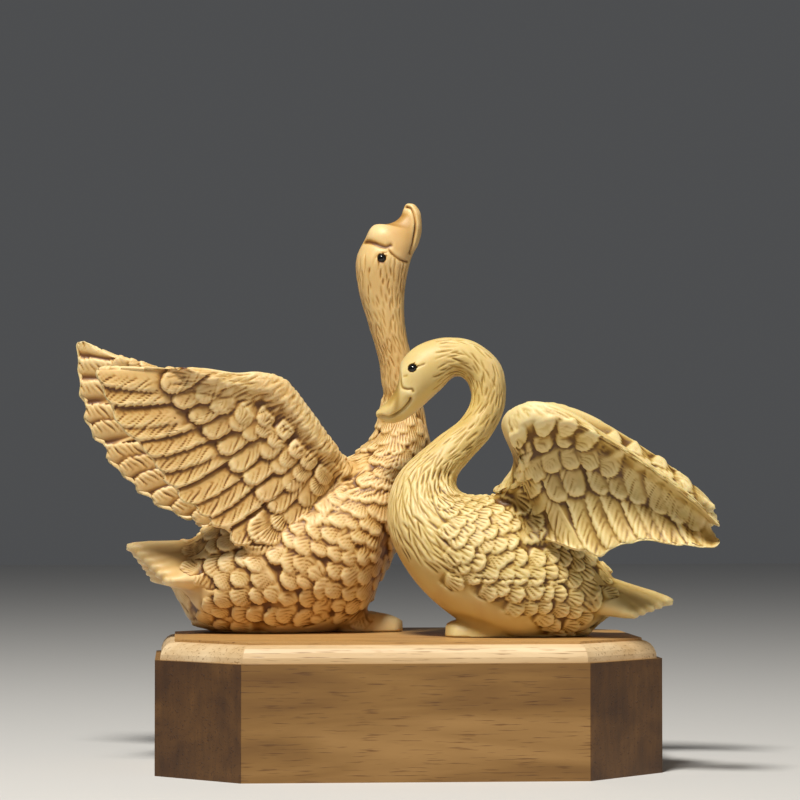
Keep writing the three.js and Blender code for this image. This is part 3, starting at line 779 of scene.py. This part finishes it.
def feathersOver(skin, swan, wing, seed):
    for face in (1, -1):
        normal = np.array([0, wing["side"] * face, 0.0])
        if face > 0:
            leadingStreaks(skin, swan, wing, normal, seed)
        for number, row in enumerate(wing["feathers"]):
            for tip, out, angle, style in featherRow(wing, row, 100 + (number and seed + number + face)):
                place = settle(np.array([tip[0], wing["side"] * out, tip[1]]), swan, True)
                axis = np.array([math.cos(angle), 0, math.sin(angle)])
                lower = lowerEdge(angle)
                flip = 1 if np.cross(normal, axis) @ [lower[0], 0, lower[1]] > 0 else -1
                raiseFeather(skin, place, axis, normal, dict(style, face=face, depth=12), flip)


# Fine streaks along the smooth band behind a wing's leading edge.
def leadingStreaks(skin, swan, wing, normal, seed):
    q = np.linspace(0, 1, 80)
    x, z, out, length = wingPoint(wing, q, 0 * q)
    line = settle(np.stack([x, wing["side"] * out, z], -1), swan, True)
    flank = np.nonzero(skin["normals"] @ normal > 0.1)[0]
    points = skin["points"][flank]
    gaps = np.hypot(points[:, None, 0] - line[None, :, 0], points[:, None, 2] - line[None, :, 2])
    nearest = gaps.argmin(1)
    close = (gaps.min(1) < wing["band"] * length[nearest]) & (gaps.min(1) > 1)
    close &= np.abs(points[:, 1] - line[nearest, 1]) < 14
    plan = {"gap": 1.7, "length": 7, "width": 0.42, "depth": 0.5, "stray": 0.1}
    for low, high, turn in zip(np.arange(5) / 5, np.arange(1, 6) / 5, wing["streaks"]):
        chosen = np.zeros(len(skin["points"]), bool)
        chosen[flank[close & (q[nearest] >= low) & (q[nearest] < high + 0.001)]] = True
        angle = math.radians(turn)
        hairWhere(skin, chosen, np.array([math.cos(angle), 0, math.sin(angle)]), plan, seed)
        seed += 1


# A groove along a line drawn on both sides of the head, in the swan's own frame.
def headLine(skin, swan, line, width, depth, region):
    x, y, z = unsettle(skin["points"], swan)
    pick = np.nonzero(region(x, y, z))[0]
    x, z = x[pick], z[pick]
    path = between(line, np.linspace(0, len(line) - 1, 10 * len(line)))
    distance = np.full(len(pick), 99.0)
    for (ax, az), (bx, bz) in zip(path[:-1], path[1:]):
        dx, dz = bx - ax, bz - az
        t = np.clip(((x - ax) * dx + (z - az) * dz) / (dx * dx + dz * dz + 1e-9), 0, 1)
        distance = np.minimum(distance, np.hypot(x - ax - t * dx, z - az - t * dz))
    side = smooth(0.05, 0.4, np.abs(skin["normals"][pick, 1]))
    skin["cut"][pick] = np.maximum(skin["cut"][pick], depth * side * np.exp(-(distance / width) ** 2))


def headMound(skin, swan, centre, size, height, region):
    x, y, z = unsettle(skin["points"], swan)
    spread = ((x - centre[0]) / size[0]) ** 2 + ((z - centre[1]) / size[1]) ** 2
    side = smooth(0.05, 0.6, np.abs(skin["normals"][:, 1]))
    skin["grow"] += np.where(region(x, y, z), height * side * np.exp(-spread), 0)


def evened(values, edges, times, weight=0.5):
    first, second = edges[:, 0], edges[:, 1]
    count = np.bincount(np.concatenate([first, second]), minlength=len(values))
    for _ in range(times):
        total = np.stack([np.bincount(first, values[second, k], len(values))
                          + np.bincount(second, values[first, k], len(values)) for k in range(values.shape[1])], -1)
        values = values * (1 - weight) + weight * total / np.maximum(count, 1)[:, None]
    return values


# Lets the hidden ends of feathers run out into the plain wood, and leaves their tips crisp.
def faded(skin, times):
    height = np.where(skin["height"] < -5, 0, skin["height"])
    first, second = skin["edges"].T
    soft = skin["soft"] + 1e-6
    share = np.bincount(first, soft[second], len(soft)) + np.bincount(second, soft[first], len(soft))
    for _ in range(times):
        carried = height * soft
        mean = (np.bincount(first, carried[second], len(soft)) + np.bincount(second, carried[first], len(soft))) / share
        height = height + soft * 0.8 * (mean - height)
    return height


# Rounds out the inner corners where two parts of the carving meet.
def softenCreases(thing, times=90):
    mesh = thing.data
    points, edges = numbersOf(mesh.vertices, "co", 3) / mm, numbersOf(mesh.edges, "vertices", 2, int)
    normals = numbersOf(mesh.vertex_normals, "vector", 3)
    hollow = np.einsum("ij,ij->i", evened(points, edges, 6) - points, normals)
    sharp = smooth(0.03, 0.12, hollow) * (points[:, 2] > restHeight + 1.5)
    mask = np.clip(4 * evened(sharp[:, None], edges, 30), 0, 1)
    near = np.nonzero(mask[:, 0] > 0.01)[0]
    number = np.full(len(points), -1)
    inner = edges[(mask[edges, 0] > 0.01).any(1)]
    used = np.unique(inner)
    number[used] = np.arange(len(used))
    local, hold = points[used], mask[used]
    for _ in range(times):
        local = local + hold * (evened(local, number[inner], 1, 1) - local)
    points[near] = local[number[near]]
    mesh.vertices.foreach_set("co", (points * mm).ravel())
    mesh.update()
    return np.clip(2 * evened(sharp[:, None], edges, 5), 0, 1)[:, 0]


# Slow unevenness of a surface cut by hand.
def wobble(points, size, height, seed):
    rng = np.random.default_rng(seed)
    total = np.zeros(len(points))
    for _ in range(7):
        total += np.sin(points @ (rng.normal(size=3) * 2 * math.pi / size) + rng.random() * 6.3)
    return total * height / 7


def carveRaised(skin, swan):
    region = lambda x, y, z: (z > 180) & (np.abs(y) < 14)
    scalesOver(skin, swan, {"sections": [0.15, 7.6], "width": [7.4, 7.4, 7.2, 6.6, 5], "down": 0.5,
                            "pitch": [5.2, 5.6, 5.6, 5.2, 4.6], "lift": 1.6, "fan": 0.4, "lines": 7, "skip": 0.55, "reach": 9,
                            "where": lambda p: p[2] > 50}, 21)
    for k, wing in enumerate(swan["wings"]):
        feathersOver(skin, swan, wing, 40 * k + 7)
    hairOver(skin, swan, {"sections": [7.7, 11.9], "length": 5, "pitch": 0.5, "gap": 2, "width": 0.42, "skip": 0.25,
                          "depth": 0.36, "down": 0, "stray": 0.12, "where": lambda p: True}, 5)
    headLine(skin, swan, [[3.2, 207.2], [5.1, 206.1], [6.2, 202.6], [6.4, 198.8], [5.8, 194.9], [5.1, 191.9],
                          [4.2, 189.3]], 0.5, 1, region)
    headLine(skin, swan, [[-12.7, 193.7], [-10.8, 193.3], [-8.1, 191.9], [-5.9, 191.2], [-4, 191.9]], 0.9, 0.7, region)
    headLine(skin, swan, [[-4.7, 190.4], [-3.6, 188.8], [-1, 186.9], [1.2, 186.1], [3, 186]], 0.5, 0.5, region)
    headLine(skin, swan, [[-9.6, 187.4], [-8.9, 188.1], [-7.4, 188.9], [-5.5, 189.2]], 0.4, 0.45, region)
    headMound(skin, swan, (-7, 196.6), (4.6, 3.2), 1.2, region)
    headMound(skin, swan, (-7.3, 186.4), (3.4, 3), 0.4, region)
    headMound(skin, swan, (0.5, 193), (4, 5), 0.4, region)


def carveBowed(skin, swan):
    region = lambda x, y, z: (x < 14) & (z > 118) & (np.abs(y - 7) < 14)
    x, y, z = skin["points"].T
    crack = (x > 22.5) & (x < 56.4) & (y < swan["middle"])      # drying crack in the near flank
    skin["cut"] += 0.7 * crack * np.exp(-((z - 69 - 0.3 * np.sin(0.35 * x)) / 0.35) ** 2)
    belly = lambda p: p[2] > 76 - (p[0] + 2.5) * 0.49
    scalesOver(skin, swan, {"sections": [0.15, 6.2], "width": [6.2, 6.6, 6.6, 6.4, 6], "down": 0.3, "reach": 9,
                            "pitch": [4.6, 5, 5, 4.8, 4.4], "lift": 1.7, "fan": 0.55, "lines": 4.4, "skip": 0.1,
                            "where": lambda p: p[0] > 15 + 0.1 * (90 - p[2]) and belly(p)}, 33)
    for k, wing in enumerate(swan["wings"]):
        feathersOver(skin, swan, wing, 40 * k + 301)
    hairOver(skin, swan, {"sections": [4.2, 8.2], "length": 9, "pitch": 0.42, "gap": 1.9, "width": 0.5, "skip": 0.12,
                          "depth": 0.6, "down": 0.15, "stray": 0.1,
                          "where": lambda p: p[0] < 17 + 0.1 * (90 - p[2]) and belly(p)}, 6)
    hairOver(skin, swan, {"sections": [8.2, 13.8], "length": 5.5, "pitch": 0.55, "gap": 2, "width": 0.42, "skip": 0.3,
                          "depth": 0.42, "down": 0, "stray": 0.1, "where": lambda p: True}, 8)
    headLine(skin, swan, [[-2.2, 143.2], [-1.8, 139.5], [-1.1, 137.6], [0.7, 136.9], [2.3, 136.9], [2.8, 136.2]],
             0.45, 0.5, region)
    headLine(skin, swan, [[-9.5, 127.3], [-5.8, 126.8], [-2.2, 128.8], [0, 130.6], [1.5, 132.5], [1.9, 133.6]],
             0.55, 1, region)
    headLine(skin, swan, [[4.1, 145], [6.7, 146.1]], 0.4, 0.4, region)
    headLine(skin, swan, [[-0.6, 141.6], [0.6, 141.9]], 0.4, 0.25, region)
    headMound(skin, swan, (2.3, 143.7), (3.2, 2.8), 0.4, region)
    headMound(skin, swan, (2, 135.4), (2, 1.6), 0.4, region)


def eyeCentre(swan, side):
    at, turn = swan["eye"]
    point = corePoints(swan, np.array(at), np.array(turn if side < 0 else 2 - turn))
    shift = between(swan["sections"], at)[5]
    point[1] = shift + (point[1] - shift) * (1 - eyeBead["inset"] / abs(point[1] - shift))
    return settle(point, swan)


def ball(name, centre, radius, segments=48, rings=24):
    P, A = np.meshgrid(np.arange(1, rings) / rings * math.pi,
                       np.linspace(0, 2 * math.pi, segments, endpoint=False), indexing="ij")
    unitPoints = np.stack([np.sin(P) * np.cos(A), np.cos(P), np.sin(P) * np.sin(A)], -1).reshape(-1, 3)
    flat = np.concatenate([unitPoints, [[0, 1, 0], [0, -1, 0]]]) * radius + centre
    return objectFrom(name, meshFrom(name, flat, gridFaces(rings - 1, segments)))


eyeBead = {"diameter": 3.5, "room": 0.15, "inset": 0.9}


def makeSwan(swan, carve, tree, wood):
    body = coreObject(swan)
    parts = [wingObject(f"wing{k}", wing, swan) for k, wing in enumerate(swan["wings"])]
    parts += tailFan(swan, tree, wood)
    if "covert" in swan:
        parts.append(covertLeaf(swan))
    parts += [footObject(swan["foot"], side, swan) for side in (-1, 1)]
    join(body, parts)
    crease = softenCreases(body)
    print(swan["name"], "joined", len(body.data.vertices), "points", round(time.perf_counter() - clock, 1))
    skin = skinOf(body)
    carve(skin, swan)
    print(swan["name"], "strokes cut", round(time.perf_counter() - clock, 1))
    height = (faded(skin, 40) - skin["cut"]) * (1 - 0.75 * crease) + skin["grow"]
    height += wobble(skin["points"], 24, 0.3, 3) * (skin["soft"] < 0.5)
    height = evened(height[:, None], skin["edges"], 1, 0.35)[:, 0]
    moved = skin["points"] + skin["normals"] * height[:, None]
    moved[:, 2] = np.maximum(moved[:, 2], restHeight)
    grounded = skin["points"][:, 2] < restHeight + 0.02
    moved[grounded] = skin["points"][grounded]
    moved = np.clip(moved, np.array(cadBox[0]) / mm + 0.3, np.array(cadBox[1]) / mm - 0.3)
    body.data.vertices.foreach_set("co", (moved * mm).ravel())
    body.data.update()
    # Painted shade in the cuts and painted highlight on the ridges, kept in the carve attribute for the wood's colour.
    paintedShadeAndHighlight = paintedShadeFromRelief(moved, skin["edges"], body)
    paint = body.data.attributes.new("carve", "FLOAT", "POINT")
    paint.data.foreach_set("value", paintedShadeAndHighlight)
    sockets = [ball("socket", eyeCentre(swan, side), eyeBead["diameter"] / 2 + eyeBead["room"]) for side in (-1, 1)]
    join(body, sockets, "DIFFERENCE")
    thin(body, carving["triangles"])
    return body


# Painted shade and highlight: 0 in the deepest cuts, painted darkest as shade, about a half on plain wood, 1 on the
# sharpest ridges, painted lightest as highlight.
def paintedShadeFromRelief(points, edges, thing):
    normals = numbersOf(thing.data.vertex_normals, "vector", 3)
    fine = np.einsum("ij,ij->i", points - evened(points, edges, 8), normals)
    broad = np.einsum("ij,ij->i", points - evened(points, edges, 50), normals)
    return np.clip(0.5 + 1.6 * fine + 0.45 * broad, 0, 1)


# Fewer triangles, where the form needs them least.
def thin(thing, most):
    thing.data.calc_loop_triangles()
    now = len(thing.data.loop_triangles)
    if now > most:
        step = thing.modifiers.new("thin", "DECIMATE")
        step.ratio = most / now
        step.use_collapse_triangulate = True
        settleModifiers(thing)
    thing.data.calc_loop_triangles()
    print(thing.name, now, "->", len(thing.data.loop_triangles), "triangles")


import time
clock = time.perf_counter()


def plainMaterial(name, color, roughness):
    material = bpy.data.materials.new(name)
    material.use_nodes = True
    shader = material.node_tree.nodes["Principled BSDF"]
    shader.inputs["Base Color"].default_value = (*color, 1)
    shader.inputs["Roughness"].default_value = roughness
    return material


# Boxwood: painted highlight on the ridges, painted shade in dark amber in the cuts, with a slow figure and fine fibres.
def boxwood(name, tones, turn):
    material = bpy.data.materials.new(name)
    material.use_nodes = True
    tree = material.node_tree
    node, link = tree.nodes.new, tree.links.new
    shader = tree.nodes["Principled BSDF"]
    place = node("ShaderNodeTexCoord").outputs["Object"]
    mapping = node("ShaderNodeMapping")
    mapping.inputs["Rotation"].default_value = turn
    mapping.inputs["Scale"].default_value = (1, 1, 0.16)
    link(place, mapping.inputs["Vector"])
    figure = node("ShaderNodeTexNoise")
    figure.inputs["Scale"].default_value = 90
    figure.inputs["Detail"].default_value = 4
    figure.inputs["Distortion"].default_value = 0.6
    link(mapping.outputs[0], figure.inputs["Vector"])
    fibre = node("ShaderNodeTexNoise")
    fibre.inputs["Scale"].default_value = 2600
    fibre.inputs["Detail"].default_value = 3
    link(mapping.outputs[0], fibre.inputs["Vector"])
    blotch = node("ShaderNodeTexNoise")
    blotch.inputs["Scale"].default_value = 34
    blotch.inputs["Detail"].default_value = 2
    link(place, blotch.inputs["Vector"])
    # The carve attribute drives painted shade in the cuts and painted highlight on the ridges.
    carve = node("ShaderNodeAttribute")
    carve.attribute_name = "carve"
    depth = rampOf(tree, carve.outputs["Fac"], [(0.05, tones["cut"]), (0.33, tones["slope"]),
                                                (0.5, tones["plain"]), (0.85, tones["ridgeHighlight"])])
    mixed = mixColor(tree, "OVERLAY", 0.35, depth, rampOf(tree, figure.outputs["Fac"],
                     [(0.3, (0.36, 0.36, 0.36)), (0.7, (0.62, 0.62, 0.62))]))
    mixed = mixColor(tree, "MULTIPLY", 0.5, mixed, rampOf(tree, blotch.outputs["Fac"],
                     [(0.35, tones["stain"]), (0.65, (1, 1, 1))]))
    link(mixed, shader.inputs["Base Color"])
    shader.inputs["Roughness"].default_value = 0.5
    shader.inputs["Subsurface Weight"].default_value = 0.12
    shader.inputs["Subsurface Radius"].default_value = (1, 0.4, 0.12)
    shader.inputs["Subsurface Scale"].default_value = 0.003
    bump = node("ShaderNodeBump")
    bump.inputs["Strength"].default_value = 0.25
    bump.inputs["Distance"].default_value = 0.0002
    link(fibre.outputs["Fac"], bump.inputs["Height"])
    link(bump.outputs["Normal"], shader.inputs["Normal"])
    return material


def rampOf(tree, factor, stops):
    ramp = tree.nodes.new("ShaderNodeValToRGB")
    elements = ramp.color_ramp.elements
    elements.remove(elements[1])
    elements[0].position = stops[0][0]
    for position, _ in stops[1:]:
        elements.new(position)
    for k, (_, tone) in enumerate(stops):
        elements[k].color = (*tone, 1)
    tree.links.new(factor, ramp.inputs["Fac"])
    return ramp.outputs["Color"]


def mixColor(tree, kind, factor, first, second):
    mix = tree.nodes.new("ShaderNodeMix")
    mix.data_type = "RGBA"
    mix.blend_type = kind
    mix.inputs[0].default_value = factor
    tree.links.new(first, mix.inputs[6])
    tree.links.new(second, mix.inputs[7])
    return mix.outputs[2]


# cut and slope are painted shade, ridge is painted highlight, plain is the wood's own tone and stain its real blotches.
warmTones = {"cut": (0.13, 0.045, 0.006), "slope": (0.43, 0.23, 0.055), "plain": (0.65, 0.43, 0.165),
             "ridgeHighlight": (0.82, 0.63, 0.33), "stain": (0.93, 0.82, 0.64)}
yellowTones = {"cut": (0.13, 0.055, 0.007), "slope": (0.42, 0.26, 0.06), "plain": (0.63, 0.46, 0.17),
               "ridgeHighlight": (0.8, 0.65, 0.33), "stain": (0.92, 0.88, 0.66)}
woods = {"warm": boxwood("boxwoodWarm", warmTones, (0.2, 0.35, 0)),
         "yellow": boxwood("boxwoodYellow", yellowTones, (-0.15, -0.5, 0.3))}
eyeBlack = plainMaterial("eyeBlack", (0.004, 0.004, 0.004), 0.06)


# The plinth's hardwood: grain and pores along X, a pale moulding partly of lighter wood and partly painted light from
# above, a top painted lighter as painted light from above, and darker end grain on the cut corners, partly painted
# shade.
def hardwood(name, sizes):
    material = bpy.data.materials.new(name)
    material.use_nodes = True
    tree = material.node_tree
    node, link = tree.nodes.new, tree.links.new
    shader = tree.nodes["Principled BSDF"]
    place = node("ShaderNodeTexCoord").outputs["Object"]

    def noise(scale, stretch, detail, distortion=0):
        mapping = node("ShaderNodeMapping")
        mapping.inputs["Scale"].default_value = stretch
        link(place, mapping.inputs["Vector"])
        step = node("ShaderNodeTexNoise")
        step.inputs["Scale"].default_value = scale
        step.inputs["Detail"].default_value = detail
        step.inputs["Distortion"].default_value = distortion
        link(mapping.outputs[0], step.inputs["Vector"])
        return step.outputs["Fac"]

    def calc(kind, first, second=0.0):
        step = node("ShaderNodeMath")
        step.operation = kind
        for socket, value in zip(step.inputs, (first, second)):
            if isinstance(value, float):
                socket.default_value = value
            else:
                link(value, socket)
        return step.outputs[0]

    def masked(factor, first, second):
        mix = node("ShaderNodeMix")
        mix.data_type = "RGBA"
        link(factor, mix.inputs[0])
        for socket, value in zip((mix.inputs[6], mix.inputs[7]), (first, second)):
            if isinstance(value, tuple):
                socket.default_value = (*value, 1)
            else:
                link(value, socket)
        return mix.outputs[2]
    split = node("ShaderNodeSeparateXYZ")
    link(place, split.inputs[0])
    x, y, z = split.outputs
    figure = rampOf(tree, noise(60, (0.12, 1, 1), 5, 0.8), [(0.3, sizes["dark"]), (0.52, sizes["plain"]),
                                                            (0.72, sizes["light"])])
    # Darker cut corners: partly end grain, partly painted shade on faces turned from the light.
    corner = calc("GREATER_THAN", calc("ADD", calc("ABSOLUTE", x), calc("ABSOLUTE", y)), sizes["cornerSum"])
    figure = masked(corner, figure, mixColor(tree, "MULTIPLY", 1, figure, rampOf(
        tree, noise(400, (1, 1, 0.2), 3), [(0.3, (0.32, 0.25, 0.16)), (0.7, (0.46, 0.37, 0.25))])))
    # Paler moulding: partly lighter wood, partly painted light where it faces up into the light.
    pale = rampOf(tree, noise(90, (0.1, 1, 1), 4, 0.5), [(0.3, sizes["paleDark"]), (0.7, sizes["pale"])])
    figure = masked(calc("GREATER_THAN", z, sizes["mouldingFrom"]), figure, pale)
    # Lighter top: painted light from above.
    figure = masked(calc("GREATER_THAN", z, sizes["topFrom"]), figure, rampOf(
        tree, noise(70, (0.1, 1, 1), 4, 0.5), [(0.3, sizes["topDark"]), (0.7, sizes["top"])]))
    pores = rampOf(tree, noise(1500, (0.06, 1, 1), 2), [(0.3, (0.42, 0.3, 0.2)), (0.42, (1, 1, 1))])
    link(mixColor(tree, "MULTIPLY", 0.75, figure, pores), shader.inputs["Base Color"])
    shader.inputs["Roughness"].default_value = 0.42
    bump = node("ShaderNodeBump")
    bump.inputs["Strength"].default_value = 0.35
    bump.inputs["Distance"].default_value = 0.00025
    link(pores, bump.inputs["Height"])
    link(bump.outputs["Normal"], shader.inputs["Normal"])
    return material


# The moulding tones are partly painted light, the top tones are painted light from above.
plinthSizes = {"cornerSum": 0.1222, "mouldingFrom": 0.0407, "topFrom": 0.0469,      # metres
               "dark": (0.15, 0.068, 0.015), "plain": (0.26, 0.135, 0.036), "light": (0.36, 0.2, 0.065),
               "paleDark": (0.55, 0.36, 0.17), "pale": (0.78, 0.6, 0.37),
               "topDark": (0.4, 0.21, 0.06), "top": (0.56, 0.33, 0.12)}
plinthWood = hardwood("plinthWood", plinthSizes)

tree = fanTree()
for swan, carve, node, slot in ((raisedSwan, carveRaised, "swan_head_raised", "carved_wood_raised"),
                                (bowedSwan, carveBowed, "swan_head_bowed", "carved_wood_bowed")):
    thing = makeSwan(swan, carve, tree, woods[swan["tone"]])
    thing.data.materials.clear()
    thing.data.materials.append(woods[swan["tone"]])
    thing.data.polygons.foreach_set("use_smooth", [True] * len(thing.data.polygons))
    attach(thing, "root")
    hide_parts(node)
    print(swan["name"], "finished", round(time.perf_counter() - clock, 1))
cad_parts["plinth"].data.materials.clear()
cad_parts["plinth"].data.materials.append(plinthWood)
for kind, swan in (("raised", raisedSwan), ("bowed", bowedSwan)):
    for where, side in (("near", -1), ("far", 1)):
        bead = ball(f"eyeBead.{kind}.{where}", eyeCentre(swan, side), eyeBead["diameter"] / 2)
        bead.data.materials.append(eyeBlack)
        bead.data.polygons.foreach_set("use_smooth", [True] * len(bead.data.polygons))
        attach(bead, "root")
        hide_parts(f"eye_{kind}_{where}")

# Studio
floor = objectFrom("floor", meshFrom("floor", [[-3000, -3000, 0], [3000, -3000, 0], [3000, 3000, 0],
                                               [-3000, 3000, 0]], [[0, 1, 2, 3]]))
floor.data.materials.append(plainMaterial("paleFloor", (0.62, 0.62, 0.62), 0.7))


def softLight(name, place, aim, size, power, color=(1, 1, 1)):
    data = bpy.data.lights.new(name, "AREA")
    data.shape = "SQUARE"
    data.size = size
    data.energy = power
    data.color = color
    light = objectFrom(name, data)
    light.location = place
    light.rotation_euler = (Vector(aim) - Vector(place)).to_track_quat("-Z", "Y").to_euler()
    return light


target = (0, 0, 0.1)
softLight("keyLight", (-0.24, -0.6, 1.28), target, 0.3, 25, (1, 0.96, 0.88))
softLight("fillLight", (1.0, -1.0, 0.35), target, 0.8, 2, (1, 0.8, 0.55))
world = bpy.data.worlds.new("studio")
bpy.context.scene.world = world
world.use_nodes = True
world.node_tree.nodes["Background"].inputs[0].default_value = (0.75, 0.77, 0.8, 1)
world.node_tree.nodes["Background"].inputs[1].default_value = 0.1
bpy.context.scene.view_settings.view_transform = "Standard"

# Camera, at the photograph's viewing angle
view = {"yaw": -4.131, "pitch": -1.734, "distance": 1092.5, "aim": (-1.5, -4, 133.2), "lens": 135}
yaw, pitch = math.radians(view["yaw"]), math.radians(view["pitch"])
backwards = Vector((math.sin(yaw) * math.cos(pitch), -math.cos(yaw) * math.cos(pitch), math.sin(pitch)))
cameraData = bpy.data.cameras.new("camera")
cameraData.lens = view["lens"]
cameraData.sensor_width = 36
camera = objectFrom("camera", cameraData)
camera.location = (Vector(view["aim"]) + backwards * view["distance"]) * mm
camera.rotation_euler = (-backwards).to_track_quat("-Z", "Y").to_euler()
bpy.context.scene.camera = camera
